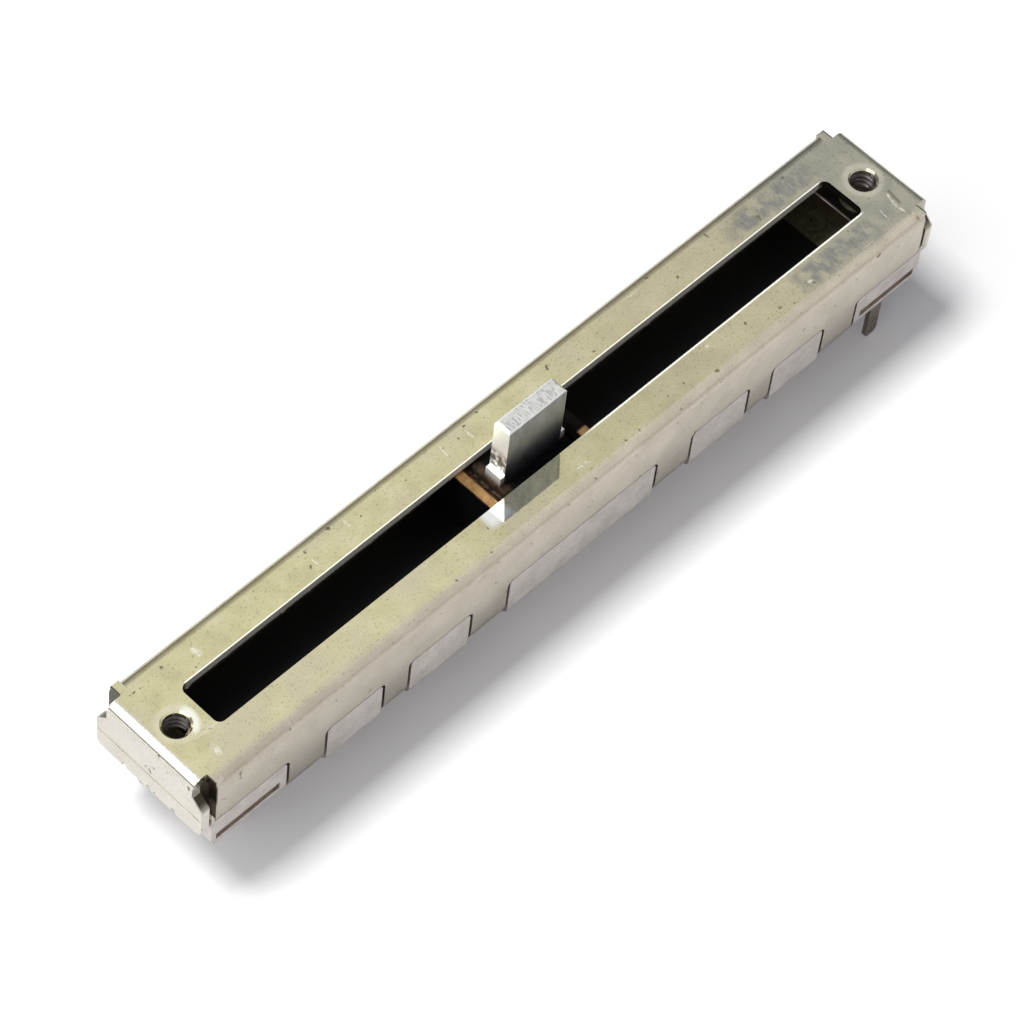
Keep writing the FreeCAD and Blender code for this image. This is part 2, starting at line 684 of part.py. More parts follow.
def build_contacts():
    """Terminals under the board, and the eyelets that rivet them to it."""
    for label, (across, up, turn) in CONTACTS.items():
        terminal = new_body(f"{label}_terminal")
        terminal.Placement = FreeCAD.Placement(Vector(), Rotation(Vector(0, 0, 1), turn))
        terminal.setExpression("Placement.Base.x", bound(across))
        terminal.setExpression("Placement.Base.y", bound(up))
        terminal.setExpression("Placement.Base.z", bound("board_under"))
        reach = "leg_y - contact_y"
        strip = [
            ("0", "0"),
            (reach, "0", "terminal_bend"),
            (reach, "-board_under"),
            (f"{reach} - terminal_thick", "-board_under"),
            (f"{reach} - terminal_thick", "-terminal_thick", "terminal_bend - terminal_thick"),
            ("0", "-terminal_thick"),
        ]
        pad(terminal, "strip", "YZ_Plane", "-terminal_wide / 2", "terminal_wide / 2", strip)
        pad(terminal, "eye", "XY_Plane", "-terminal_thick", "0", ("0", "0", "terminal_eye / 2"))
        cut(terminal, "eye_hole", "XY_Plane", f"-terminal_thick - {OVERCUT}", f"{OVERCUT / 2}",
            ("0", "0", "barrel_radius + eyelet_gap"))
        foot = -value("board_under")
        half = value("terminal_wide / 2")
        dress(terminal, "Chamfer", "leg_point", "leg_point",
              lambda edge: ends_at(edge, foot) and abs(abs(edge.CenterOfMass.x) - half) < SAME)

        eyelet = new_body(f"{label}_eyelet")
        eyelet.setExpression("Placement.Base.x", bound(across))
        eyelet.setExpression("Placement.Base.y", bound(up))
        eyelet.setExpression("Placement.Base.z", bound("terminal_under"))
        tall = "pad_top - terminal_under"
        section = [
            ("eyelet_hole / 2", "-eyelet_flange_thick"),
            ("flange_radius", "-eyelet_flange_thick"),
            ("flange_radius", "0"),
            ("barrel_radius", "0"),
            ("barrel_radius", tall),
            ("flange_radius", tall),
            ("flange_radius", f"{tall} + eyelet_flange_thick"),
            ("eyelet_hole / 2", f"{tall} + eyelet_flange_thick"),
        ]
        sketch = draw(eyelet, "section", "XZ_Plane", "0", [section])
        barrel = eyelet.newObject("PartDesign::Revolution", "barrel")
        barrel.Profile = sketch
        barrel.ReferenceAxis = (sketch, ["V_Axis"])
        barrel.Angle = 360
        eyelet.Tip = barrel


def place_on_slider(body):
    """Slider pieces are drawn about the lever and stand where the lever stands."""
    body.setExpression("Placement.Base.x", bound("lever_x"))


def build_carriage():
    """Moulded block between the skirts, with a boss around the lever, two runners, and pegs below."""
    body = new_body("slider_carriage")
    place_on_slider(body)
    pad(body, "block", "XY_Plane", "carriage_base", "carriage_top",
        box("-carriage_half", "-carriage_side", "carriage_half", "carriage_side", "runner_wide"))
    pad(body, "boss", "XY_Plane", "carriage_top", "boss_top",
        box("-boss_half", "-boss_side", "boss_half", "boss_side"))
    runners = []
    for hand in (-1, 1):
        front, back = span("carriage_side - runner_wide", "carriage_side", hand)
        runners.append(box("-carriage_half + runner_wide", front, "carriage_half - runner_wide", back))
    pad(body, "runners", "XY_Plane", "board_top + runner_gap", "carriage_base", *runners)
    pegs = [(flipped("peg_pitch / 2", side), "0", "peg_wide / 2") for side in (-1, 1)]
    pad(body, "pegs", "XY_Plane", "wiper_under - peg_head", "carriage_base", *pegs)
    cut(body, "lever_pocket", "XY_Plane", "carriage_top - tang_deep - fit_gap",
        f"boss_top + {OVERCUT}",
        box("-tang_wide / 2 - fit_gap", "-lever_thick / 2 - fit_gap",
            "tang_wide / 2 + fit_gap", "lever_thick / 2 + fit_gap"))


def build_lever():
    """Flat steel lever: blade, wider foot on the boss, and a tang in the carriage."""
    body = new_body("lever")
    place_on_slider(body)
    blade = "lever_wide / 2"
    foot = "foot_wide / 2"
    tang = "tang_wide / 2"
    outline = [
        (f"-{tang}", "carriage_top - tang_deep"),
        (tang, "carriage_top - tang_deep"),
        (tang, "boss_top"),
        (foot, "boss_top"),
        (foot, "case_top"),
        (blade, "case_top"),
        (blade, "case_top + lever_rise"),
        (f"-{blade}", "case_top + lever_rise"),
        (f"-{blade}", "case_top"),
        (f"-{foot}", "case_top"),
        (f"-{foot}", "boss_top"),
        (f"-{tang}", "boss_top"),
    ]
    pad(body, "blade", "XZ_Plane", "-lever_thick / 2", "lever_thick / 2", outline)
    tip = value("case_top + lever_rise")
    dress(body, "Chamfer", "top_edges", "lever_chamfer", lambda edge: ends_at(edge, tip))


def build_friction_spring():
    """Bronze leaf around the boss. It lies on the carriage and its end bars press up on the sheet."""
    body = new_body("friction_spring")
    place_on_slider(body)
    bar_top = "plate_under - leaf_gap"
    flat_top = "carriage_top + leaf_thick"
    bar_end = "leaf_half - leaf_bar"
    flat_end = "leaf_half - leaf_bar - leaf_ramp_long"
    outline = [
        (f"-({flat_end})", "carriage_top"),
        (flat_end, "carriage_top"),
        (bar_end, f"{bar_top} - leaf_thick"),
        ("leaf_half", f"{bar_top} - leaf_thick"),
        ("leaf_half", bar_top),
        (bar_end, bar_top),
        (flat_end, flat_top),
        (f"-({flat_end})", flat_top),
        (f"-({bar_end})", bar_top),
        ("-leaf_half", bar_top),
        ("-leaf_half", f"{bar_top} - leaf_thick"),
        (f"-({bar_end})", f"{bar_top} - leaf_thick"),
    ]
    pad(body, "leaf", "XZ_Plane", "-leaf_edge", "leaf_edge", outline)
    cut(body, "boss_hole", "XY_Plane", "carriage_top - leaf_thick", f"case_top + {OVERCUT}",
        box("-boss_half - leaf_gap", "-boss_side - leaf_gap", "boss_half + leaf_gap", "boss_side + leaf_gap"))


def build_wiper():
    """Sprung contact under the carriage: a spine on two pegs, a cross bar, and a row of fingers a side."""
    body = new_body("wiper_contact")
    place_on_slider(body)
    row = "finger_first + 2 * finger_pitch + finger_wide"
    sheet = [
        ("-wiper_half", "-wiper_spine / 2"),
        ("wiper_half - wiper_bar", "-wiper_spine / 2"),
        ("wiper_half - wiper_bar", f"-({row})"),
        ("wiper_half", f"-({row})"),
        ("wiper_half", row),
        ("wiper_half - wiper_bar", row),
        ("wiper_half - wiper_bar", "wiper_spine / 2"),
        ("-wiper_half", "wiper_spine / 2"),
    ]
    pad(body, "sheet", "XY_Plane", "wiper_under", "carriage_base", sheet)
    holes = [(flipped("peg_pitch / 2", side), "0", "peg_wide / 2 + fit_gap") for side in (-1, 1)]
    cut(body, "peg_holes", "XY_Plane", f"wiper_under - {OVERCUT}", f"carriage_base + {OVERCUT}", *holes)

    # Each finger slopes down from the bar, touches its track, and turns up at its tip.
    root = "wiper_half - wiper_bar"
    touch = "-wiper_half + 2 * finger_tip"
    finger = [
        (f"{root} + wiper_thick", "wiper_under"),
        (f"{root} + wiper_thick", "carriage_base"),
        (root, "carriage_base"),
        (touch, "wiper_tip + wiper_thick"),
        (f"{touch} - finger_tip", "wiper_tip + wiper_thick"),
        (f"{touch} - 2 * finger_tip", "wiper_tip + 2 * wiper_thick"),
        (f"{touch} - 2 * finger_tip", "wiper_tip + wiper_thick"),
        (f"{touch} - finger_tip", "wiper_tip"),
        (touch, "wiper_tip"),
        (root, "wiper_under"),
    ]
    for hand, row_name in ((-1, "collector"), (1, "carbon")):
        for number in range(3):
            start = f"finger_first + {number} * finger_pitch"
            pad(body, f"{row_name}_finger_{number + 1}", "XZ_Plane",
                *span(start, f"{start} + finger_wide", hand), finger)


def check_and_write():
    """Stop if anything failed, then write each piece to its own file."""
    doc.recompute()
    for item in doc.Objects:
        if "Invalid" in item.State or "Error" in item.State:
            raise RuntimeError(f"{item.Name} failed: {item.State}")
        if item.TypeId == "PartDesign::Pocket":
            if item.BaseFeature.Shape.Volume - item.Shape.Volume < SAME:
                raise RuntimeError(f"{item.Name} takes nothing away")
    for body in pieces:
        if body.Shape.isNull() or not body.Shape.isValid() or not body.Shape.Solids:
            raise RuntimeError(f"{body.Label} has no valid solid")
    os.makedirs("parts", exist_ok=True)
    for body in pieces:
        body.Shape.exportStep(f"parts/{body.Label}.step")


build_upper_case()
build_tray()
build_board()
build_prints()
build_contacts()
build_carriage()
build_lever()
build_friction_spring()
build_wiper()
check_and_write()
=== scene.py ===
import math

import bmesh
import bpy
from mathutils import Matrix, Vector


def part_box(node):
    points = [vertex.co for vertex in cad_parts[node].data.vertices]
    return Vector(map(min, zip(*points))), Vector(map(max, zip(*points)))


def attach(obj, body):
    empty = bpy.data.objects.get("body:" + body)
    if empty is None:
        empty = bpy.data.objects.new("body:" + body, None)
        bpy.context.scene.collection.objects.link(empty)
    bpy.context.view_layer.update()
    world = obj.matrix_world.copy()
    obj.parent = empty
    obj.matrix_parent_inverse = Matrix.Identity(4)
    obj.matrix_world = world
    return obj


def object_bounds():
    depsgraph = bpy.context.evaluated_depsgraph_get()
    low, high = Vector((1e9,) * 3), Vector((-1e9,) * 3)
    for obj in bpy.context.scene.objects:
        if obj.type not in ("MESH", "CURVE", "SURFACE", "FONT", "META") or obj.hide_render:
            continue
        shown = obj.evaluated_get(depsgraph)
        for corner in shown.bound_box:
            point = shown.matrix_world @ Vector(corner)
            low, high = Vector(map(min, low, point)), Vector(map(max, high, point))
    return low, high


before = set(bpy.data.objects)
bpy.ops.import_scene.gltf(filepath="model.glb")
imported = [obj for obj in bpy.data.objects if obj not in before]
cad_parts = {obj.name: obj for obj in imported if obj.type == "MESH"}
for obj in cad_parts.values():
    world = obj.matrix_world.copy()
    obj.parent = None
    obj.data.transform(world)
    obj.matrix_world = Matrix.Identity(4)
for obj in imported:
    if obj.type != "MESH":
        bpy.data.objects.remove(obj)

cad_box = [list(corner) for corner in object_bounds()]
scene = bpy.context.scene
scene.view_settings.view_transform = "Standard"


# The photograph is taken from above the near end of the case, with a long lens. The place and the
# three directions of the camera come from the outline of the case in it.
MM = 0.001
CAMERA_PLACE = Vector((-116.70, -90.84, 221.27)) * MM
CAMERA_RIGHT = Vector((0.70064, -0.70948, 0.07579))
CAMERA_DOWN = Vector((-0.56068, -0.61313, -0.55652))
CAMERA_AHEAD = Vector((0.44130, 0.34742, -0.82737))
LENS_MM = 158.37
SENSOR_MM = 36.0
NEAREST_SEEN = 0.01

camera_data = bpy.data.cameras.new("camera")
camera_data.lens = LENS_MM
camera_data.sensor_width = SENSOR_MM
camera_data.clip_start = NEAREST_SEEN
camera = bpy.data.objects.new("camera", camera_data)
turn = Matrix((CAMERA_RIGHT, -CAMERA_DOWN, -CAMERA_AHEAD)).transposed()
camera.matrix_world = Matrix.Translation(CAMERA_PLACE) @ turn.to_4x4()
scene.collection.objects.link(camera)
scene.camera = camera


# White table top under the legs. The camera sees it a little brighter than it is, so that it stays white
# around the soft shadow, as in the photograph.
TABLE_HALF = 0.6
TABLE_COLOUR = (0.90, 0.90, 0.90, 1.0)
TABLE_ROUGHNESS = 0.9
TABLE_GLOSS = 0.1
TABLE_LIFT = 0.08

table_mesh = bpy.data.meshes.new("table_top")
corners = [(-TABLE_HALF, -TABLE_HALF, 0), (TABLE_HALF, -TABLE_HALF, 0),
           (TABLE_HALF, TABLE_HALF, 0), (-TABLE_HALF, TABLE_HALF, 0)]
table_mesh.from_pydata(corners, [], [(0, 1, 2, 3)])
table_top = bpy.data.objects.new("table_top", table_mesh)
table_top.location.z = cad_box[0][2]
scene.collection.objects.link(table_top)
table_paint = bpy.data.materials.new("table_white")
table_paint.use_nodes = True
nodes, links = table_paint.node_tree.nodes, table_paint.node_tree.links
table_shader = nodes["Principled BSDF"]
table_shader.inputs["Base Color"].default_value = TABLE_COLOUR
table_shader.inputs["Roughness"].default_value = TABLE_ROUGHNESS
table_shader.inputs["Specular IOR Level"].default_value = TABLE_GLOSS
table_shader.inputs["Emission Color"].default_value = (1, 1, 1, 1)
seen_from = nodes.new("ShaderNodeLightPath")
lift = nodes.new("ShaderNodeMath")
lift.operation = "MULTIPLY"
lift.inputs[1].default_value = TABLE_LIFT
links.new(seen_from.outputs["Is Camera Ray"], lift.inputs[0])
links.new(lift.outputs[0], table_shader.inputs["Emission Strength"])
table_mesh.materials.append(table_paint)


# Studio light: one soft panel high on the left, and a larger weak one low behind the near end. The low
# one gives the white line along the near bend of the case.
def panel(name, place, width, depth, power):
    """A rectangular light that faces the middle of the case, its width level. Sizes are in metres."""
    light = bpy.data.lights.new(name, "AREA")
    light.shape = "RECTANGLE"
    light.size = width
    light.size_y = depth
    light.energy = power
    lamp = bpy.data.objects.new(name, light)
    back = place.normalized()
    level = Vector((0, 1, 0)).cross(back).normalized()
    facing = Matrix((level, back.cross(level), back)).transposed()
    lamp.matrix_world = Matrix.Translation(place) @ facing.to_4x4()
    scene.collection.objects.link(lamp)


panel("key_panel", place=Vector((-0.18, 0.135, 0.60)), width=0.20, depth=0.16, power=3.35)
panel("near_panel", place=Vector((-0.47, 0.06, 0.37)), width=0.55, depth=0.62, power=1.9)


# The room: metal sees a pale ceiling, a pale wall in front of the long side that shows, and a dim wall
# behind. Matt surfaces get a weak even fill from it, and the camera sees it white.
FILL_COLOUR = (0.92, 0.91, 1.0, 1)
FILL_STRENGTH = 0.19
BRIGHT_WAY = (0, -0.5, 1)
BRIGHT_WAY_LOW = -0.5
BRIGHT_WAY_HIGH = 1.0
ROOM_GREYS = ((0.22, 0.20), (0.60, 0.50), (0.77, 0.95))

world = bpy.data.worlds.new("room")
world.use_nodes = True
scene.world = world
nodes, links = world.node_tree.nodes, world.node_tree.links
backdrop = nodes["Background"]
backdrop.inputs["Color"].default_value = (1, 1, 1, 1)
backdrop.inputs["Strength"].default_value = 1.0
fill = nodes.new("ShaderNodeBackground")
fill.inputs["Color"].default_value = FILL_COLOUR
fill.inputs["Strength"].default_value = FILL_STRENGTH
ceiling = nodes.new("ShaderNodeBackground")
toward_front = nodes.new("ShaderNodeVectorMath")
toward_front.operation = "DOT_PRODUCT"
toward_front.inputs[1].default_value = BRIGHT_WAY
links.new(nodes.new("ShaderNodeTexCoord").outputs["Generated"], toward_front.inputs[0])
spread = nodes.new("ShaderNodeMapRange")
spread.inputs["From Min"].default_value = BRIGHT_WAY_LOW
spread.inputs["From Max"].default_value = BRIGHT_WAY_HIGH
links.new(toward_front.outputs["Value"], spread.inputs["Value"])
shade = nodes.new("ShaderNodeValToRGB")
shade.color_ramp.elements.new(0.5)
for element, (position, grey) in zip(shade.color_ramp.elements, ROOM_GREYS):
    element.position = position
    element.color = (grey, grey, grey, 1)
links.new(spread.outputs[0], shade.inputs[0])
links.new(shade.outputs[0], ceiling.inputs["Color"])
ray = nodes.new("ShaderNodeLightPath")
in_metal = nodes.new("ShaderNodeMixShader")
links.new(ray.outputs["Is Glossy Ray"], in_metal.inputs[0])
links.new(fill.outputs[0], in_metal.inputs[1])
links.new(ceiling.outputs[0], in_metal.inputs[2])
seen = nodes.new("ShaderNodeMixShader")
links.new(ray.outputs["Is Camera Ray"], seen.inputs[0])
links.new(in_metal.outputs[0], seen.inputs[1])
links.new(backdrop.outputs[0], seen.inputs[2])
links.new(seen.outputs[0], nodes["World Output"].inputs["Surface"])


# The tray: folded steel with a duller plating than the upper case, pinkish grey on its tabs and painted
# dark inside as shade. It stands in the notches of the upper case and carries the board on its shelves.
class Finish:
    """A material with one shader, and short ways to add the texture nodes that drive it, in mm."""

    def __init__(self, name, metallic=0.0, roughness=0.5):
        self.material = bpy.data.materials.new(name)
        self.material.use_nodes = True
        self.nodes = self.material.node_tree.nodes
        self.links = self.material.node_tree.links
        self.shader = self.nodes["Principled BSDF"]
        self.shader.inputs["Metallic"].default_value = metallic
        self.shader.inputs["Roughness"].default_value = roughness
        metres = self.nodes.new("ShaderNodeTexCoord").outputs["Object"]
        in_mm = self.nodes.new("ShaderNodeVectorMath")
        in_mm.operation = "SCALE"
        in_mm.inputs["Scale"].default_value = 1 / MM
        self.links.new(metres, in_mm.inputs[0])
        self.place = in_mm.outputs[0]
        split = self.nodes.new("ShaderNodeSeparateXYZ")
        self.links.new(self.place, split.inputs[0])
        self.along, self.across, self.up = split.outputs

    def fill(self, socket, content):
        """Put a number, a colour, a grey, a point or the output of another node into a socket."""
        if isinstance(content, bpy.types.NodeSocket):
            self.links.new(content, socket)
        elif isinstance(socket, bpy.types.NodeSocketColor):
            colour = (content, content, content) if isinstance(content, float) else content
            socket.default_value = (*colour, 1)
        else:
            socket.default_value = content

    def add(self, kind, operation, contents):
        """A node that works something out from what its inputs get."""
        node = self.nodes.new(kind)
        node.operation = operation
        for socket, content in zip(node.inputs, contents):
            self.fill(socket, content)
        return node

    def math(self, operation, *contents):
        return self.add("ShaderNodeMath", operation, contents).outputs[0]

    def vector_math(self, operation, *contents):
        gives = "Value" if operation in ("DOT_PRODUCT", "LENGTH") else "Vector"
        return self.add("ShaderNodeVectorMath", operation, contents).outputs[gives]

    def size_of(self, source):
        """The value without its sign, so that a mark stands on both sides of the middle."""
        return self.math("ABSOLUTE", source)

    def reach(self, source, start, end):
        """0 before the start, 1 past the end, and smooth between."""
        node = self.nodes.new("ShaderNodeMapRange")
        node.interpolation_type = "SMOOTHSTEP"
        node.inputs["From Min"].default_value = start
        node.inputs["From Max"].default_value = end
        self.links.new(source, node.inputs["Value"])
        return node.outputs[0]

    def band(self, source, start, full_from, full_to, end):
        """1 in a band of the source, and smooth to 0 on both sides of it."""
        return self.math("MULTIPLY", self.reach(source, start, full_from), self.reach(source, end, full_to))

    def all_of(self, *masks):
        """Where every mask is 1."""
        result = masks[0]
        for mask in masks[1:]:
            result = self.math("MULTIPLY", result, mask)
        return result

    def any_of(self, *masks):
        """Where at least one mask is 1."""
        result = masks[0]
        for mask in masks[1:]:
            result = self.math("MAXIMUM", result, mask)
        return result

    def stroke(self, start, end, width):
        """1 on a straight mark of a width between two points, 0 off it, with a soft edge."""
        start, end = Vector(start), Vector(end)
        course = (end - start).normalized()
        away = self.vector_math("SUBTRACT", self.place, tuple(start))
        run = self.vector_math("DOT_PRODUCT", away, tuple(course))
        run = self.math("MINIMUM", self.math("MAXIMUM", run, 0.0), (end - start).length)
        foot = self.vector_math("MULTIPLY", self.join(run, run, run), tuple(course))
        gap = self.vector_math("LENGTH", self.vector_math("SUBTRACT", away, foot))
        return self.reach(gap, width / 2, width / 5)

    def join(self, *values):
        node = self.nodes.new("ShaderNodeCombineXYZ")
        for socket, content in zip(node.inputs, values):
            self.fill(socket, content)
        return node.outputs[0]

    def stretched(self, *scale):
        """The place, stretched by a scale."""
        return self.vector_math("MULTIPLY", self.place, tuple(1 / share for share in scale))

    def noise(self, size, detail=3.0, rough=0.55, where=None):
        """Cloudy noise with blobs of about a size."""
        noise = self.nodes.new("ShaderNodeTexNoise")
        noise.inputs["Scale"].default_value = 1 / size
        noise.inputs["Detail"].default_value = detail
        noise.inputs["Roughness"].default_value = rough
        self.links.new(where or self.place, noise.inputs["Vector"])
        return noise.outputs["Fac"]

    def ramp(self, source, *stops):
        """Map a value through colour stops, each a position and a colour or a grey."""
        ramp = self.nodes.new("ShaderNodeValToRGB")
        while len(ramp.color_ramp.elements) < len(stops):
            ramp.color_ramp.elements.new(0.5)
        for element, (position, colour) in zip(ramp.color_ramp.elements, stops):
            element.position = position
            element.color = (colour, colour, colour, 1) if isinstance(colour, float) else (*colour, 1)
        self.links.new(source, ramp.inputs[0])
        return ramp.outputs[0]

    def clouded(self, source, low, high):
        """Clouds between two colours or greys, such as a dark and a light tone, or two roughnesses."""
        return self.ramp(source, (0.3, low), (0.7, high))

    def mix(self, share, first, second, kind="MIX"):
        """Mix two colours or greys by a share. Each may be a texture."""
        mix = self.nodes.new("ShaderNodeMix")
        mix.data_type = "RGBA"
        mix.blend_type = kind
        for socket, content in zip((mix.inputs[0], mix.inputs[6], mix.inputs[7]), (share, first, second)):
            self.fill(socket, content)
        return mix.outputs[2]

    def fade(self, mask, amount, first, second):
        """Mix in no more than an amount of the second, where a mask says so."""
        return self.mix(self.math("MULTIPLY", mask, amount), first, second)

    def tinted(self, mask, tone, tint):
        """A tone, multiplied by a tint where a mask says so."""
        return self.mix(mask, tone, self.mix(1.0, tone, tint, "MULTIPLY"))

    def drive(self, socket, source):
        self.links.new(source, self.shader.inputs[socket])

    def bump(self, source, strength, depth):
        """Raise the surface by a texture, to a depth in millimetres."""
        bump = self.nodes.new("ShaderNodeBump")
        bump.inputs["Strength"].default_value = strength
        bump.inputs["Distance"].default_value = depth * MM
        self.links.new(source, bump.inputs["Height"])
        self.links.new(bump.outputs[0], self.shader.inputs["Normal"])

    def give(self, *names):
        """Put this finish on the given CAD nodes."""
        for name in names:
            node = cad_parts[name]
            node.data.materials.clear()
            node.data.materials.append(self.material)


TRAY_DARK = (0.46, 0.42, 0.39)
TRAY_LIGHT = (0.60, 0.56, 0.53)
TRAY_SPECK = (0.36, 0.33, 0.31)
TRAY_INSIDE_SHADE = (0.075, 0.060, 0.040)
INSIDE_WIDE = 3.79, 3.76
INSIDE_LONG = 28.9, 28.82
INSIDE_UP = 4.95, 5.05

tray = Finish("tray_plating", metallic=0.85)
tone = tray.clouded(tray.noise(size=1.2, detail=5), TRAY_DARK, TRAY_LIGHT)
specks = tray.reach(tray.noise(size=0.16, detail=2), 0.55, 0.75)
tone = tray.mix(specks, tone, TRAY_SPECK)
shaded_inside = tray.all_of(tray.reach(tray.size_of(tray.across), *INSIDE_WIDE), tray.reach(tray.up, *INSIDE_UP),
                     tray.reach(tray.size_of(tray.along), *INSIDE_LONG))
tray.drive("Base Color", tray.mix(shaded_inside, tone, TRAY_INSIDE_SHADE))
tray.drive("Roughness", tray.clouded(tray.noise(size=0.5), low=0.30, high=0.46))
tray.bump(tray.noise(size=0.25, detail=2), strength=0.15, depth=0.04)
tray.give("lower_case")


# The board: brown paper phenolic with faint fibres along it. It lies on the shelves of the tray, and
# its paler sawn edges show in the slots of the tray's sides.
FIBRE_DARK = (0.055, 0.040, 0.018)
FIBRE_LIGHT = (0.10, 0.075, 0.035)
SAWN_EDGE = (0.36, 0.25, 0.18)
EAR_FROM = 3.7, 3.9

phenolic = Finish("brown_phenolic", roughness=0.55)
fibres = phenolic.noise(size=0.6, where=phenolic.stretched(6, 1, 1))
tone = phenolic.clouded(fibres, FIBRE_DARK, FIBRE_LIGHT)
on_ear = phenolic.reach(phenolic.size_of(phenolic.across), *EAR_FROM)
phenolic.drive("Base Color", phenolic.mix(on_ear, tone, SAWN_EDGE))
phenolic.bump(phenolic.noise(size=0.2), strength=0.2, depth=0.03)
phenolic.give("element_board")


# The printed layers on the board: carbon ink for both tracks, and silver ink under the eyelets. The carbon
# is black and matt, and the silver is given a dark olive tone.
CARBON_GLOSS = 0.2
SILVER_DARK = (0.045, 0.042, 0.022)
SILVER_LIGHT = (0.10, 0.095, 0.055)

carbon = Finish("carbon_ink", roughness=0.45)
carbon.drive("Base Color", carbon.clouded(carbon.noise(size=0.25), low=0.003, high=0.006))
carbon.shader.inputs["Specular IOR Level"].default_value = CARBON_GLOSS
carbon.give("carbon_track", "collector_track")

silver = Finish("dull_silver_ink", metallic=0.2, roughness=0.6)
silver.drive("Base Color", silver.clouded(silver.noise(size=0.3), SILVER_DARK, SILVER_LIGHT))
silver.give("near_silver_pad", "far_silver_pad", "collector_silver_pad")


# The terminals and the eyelets that rivet them to the board: tinned brass, stamped and rolled. The eyelets
# stand inside the case and are painted darker than the legs below it, as shade.
TIN_DARK = (0.20, 0.16, 0.13)
TIN_LIGHT = (0.36, 0.31, 0.27)
EYELET_SHADE_DARK = (0.07, 0.065, 0.04)
EYELET_SHADE_LIGHT = (0.15, 0.14, 0.09)

tinned = Finish("tinned_brass", metallic=1.0)
tinned.drive("Base Color", tinned.clouded(tinned.noise(size=0.4), TIN_DARK, TIN_LIGHT))
tinned.drive("Roughness", tinned.clouded(tinned.noise(size=0.2), low=0.3, high=0.5))
tinned.give("near_terminal", "far_terminal", "collector_terminal")

shaded_eyelets = Finish("shaded_brass", metallic=0.6, roughness=0.5)
shaded_eyelets.drive("Base Color", shaded_eyelets.clouded(shaded_eyelets.noise(size=0.3), EYELET_SHADE_DARK, EYELET_SHADE_LIGHT))
shaded_eyelets.give("near_eyelet", "far_eyelet", "collector_eyelet")


# The carriage: a black moulding that slides on the board and holds the lever. It is matt, so that the
# slot reads black beside the lever, and brown grease is smeared on it between the leaf and the lever.
SMEAR_DARK = (0.012, 0.008, 0.005)
SMEAR_LIGHT = (0.060, 0.040, 0.026)
CARRIAGE_GLOSS = 0.03
SMEAR_ALONG = -4.75, -4.4, -3.3, -2.9

black = Finish("black_moulding", roughness=0.7)
tone = black.clouded(black.noise(size=0.2), low=0.002, high=0.005)
smeared = black.ramp(black.noise(size=0.5, detail=4), (0.35, SMEAR_DARK), (0.65, SMEAR_LIGHT))
by_lever = black.band(black.along, *SMEAR_ALONG)
black.drive("Base Color", black.mix(by_lever, tone, smeared))
black.shader.inputs["Specular IOR Level"].default_value = CARRIAGE_GLOSS
black.bump(black.noise(size=0.1), strength=0.2, depth=0.02)
black.give("slider_carriage")


# The leaf spring and the wiper: bare phosphor bronze strip, held on the carriage. It is bright only where
# the end bars of the leaf rub on the sheet. The rest is dark with grease, and on the far half, behind the
# lever, it is painted near black as the lever's shadow.
BRONZE_DARK = (0.17, 0.095, 0.036)
BRONZE_LIGHT = (0.38, 0.225, 0.092)
GREASE_DARK = (0.010, 0.007, 0.004)
GREASE_LIGHT = (0.13, 0.085, 0.055)
LEVER_SHADOW_BLACK = (0.004, 0.003, 0.002)
LEVER_SHADOW_ALONG = -1.0, 0.0
LEVER_SHADOW_ACROSS = -1.05, -0.85
BAR_BELOW_TOP = 0.03, 0.10
FAR_BAR_LONG = 1.0, 0.8

leaf_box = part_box("friction_spring")
leaf_top = leaf_box[1][2] / MM
leaf_far = leaf_box[1][0] / MM
bronze = Finish("spring_bronze", metallic=0.9, roughness=0.42)
tone = bronze.clouded(bronze.noise(size=0.5), BRONZE_DARK, BRONZE_LIGHT)
under_bars = bronze.reach(bronze.up, *(leaf_top - depth for depth in BAR_BELOW_TOP))
far_bar_shadow = bronze.all_of(bronze.reach(bronze.along, *(leaf_far - length for length in FAR_BAR_LONG)),
                             bronze.reach(bronze.across, *LEVER_SHADOW_ACROSS))
grease_and_shadow = bronze.any_of(under_bars, far_bar_shadow)
greasy_and_shaded = bronze.ramp(bronze.noise(size=0.35, detail=4), (0.40, GREASE_DARK), (0.65, GREASE_LIGHT))
# Painted shadow: the far half, behind the lever, is near black, for the lever's shadow.
greasy_and_shaded = bronze.mix(bronze.reach(bronze.along, *LEVER_SHADOW_ALONG), greasy_and_shaded, LEVER_SHADOW_BLACK)
bronze.drive("Base Color", bronze.mix(grease_and_shadow, tone, greasy_and_shaded))
bronze.drive("Metallic", bronze.mix(grease_and_shadow, 0.9, 0.2))
bronze.drive("Specular IOR Level", bronze.mix(grease_and_shadow, 0.5, 0.04))
bronze.give("friction_spring", "wiper_contact")


# The lever: a blade blanked from steel sheet and plated bright, pressed into the carriage. Its top is
# speckled. Its broad faces are satin, and painted dark and bluish as shade. Its sheared ends are pale cut
# steel, painted near white as lit, with brown stains near the foot.
BLADE_DARK = (0.66, 0.66, 0.63)
BLADE_LIGHT = (0.82, 0.82, 0.79)
BLADE_SPECK = (0.50, 0.50, 0.49)
FACE_SHADE_DARK = (0.25, 0.265, 0.32)
FACE_SHADE_LIGHT = (0.37, 0.39, 0.455)
END_LIT_PALE = (0.95, 0.95, 0.92)
END_STAIN = (0.17, 0.16, 0.13)
FACE_FROM = 0.57, 0.595
END_FROM = 2.26, 2.29
END_UP = 10.0, 11.0
STAIN_UP = 11.15, 11.4, 12.3, 13.3

